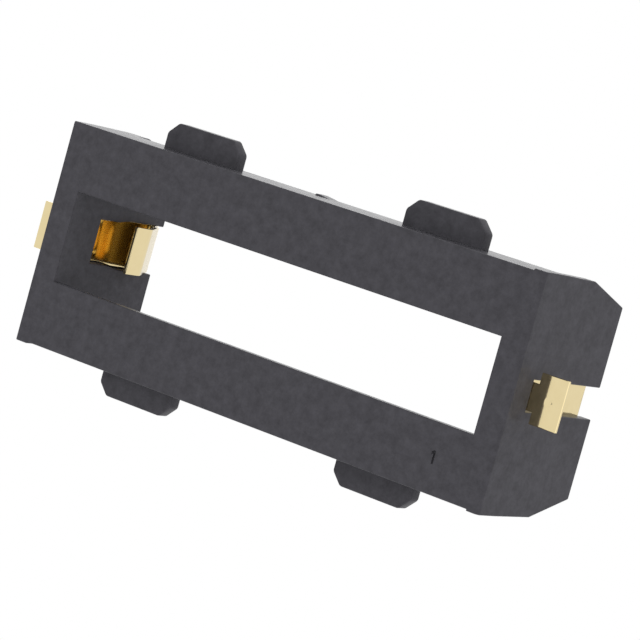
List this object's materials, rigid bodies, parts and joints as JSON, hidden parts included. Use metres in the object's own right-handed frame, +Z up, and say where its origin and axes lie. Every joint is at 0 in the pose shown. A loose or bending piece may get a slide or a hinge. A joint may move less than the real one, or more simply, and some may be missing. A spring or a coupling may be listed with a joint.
{
  "type": "battery holder",
  "caption": "Low board-mounted cradle for one small cylindrical cell: open moulded trough with seating wings and a folded leaf contact with solder foot in each end wall.",
  "frame": {"origin": "middle of the flat underside", "axes": "+X along the cell towards the right contact, +Y across the holder, +Z up, the way the cell comes out"},
  "size_m": [0.0392, 0.0168, 0.0089],
  "materials": {
    "body": "fine-grained moulded nylon, charcoal",
    "contact": "bright gold plate on spring bronze strip"
  },
  "bodies": {
    "root": {"body": "body", "left_contact": "contact", "right_contact": "contact"}
  },
  "joints": []
}
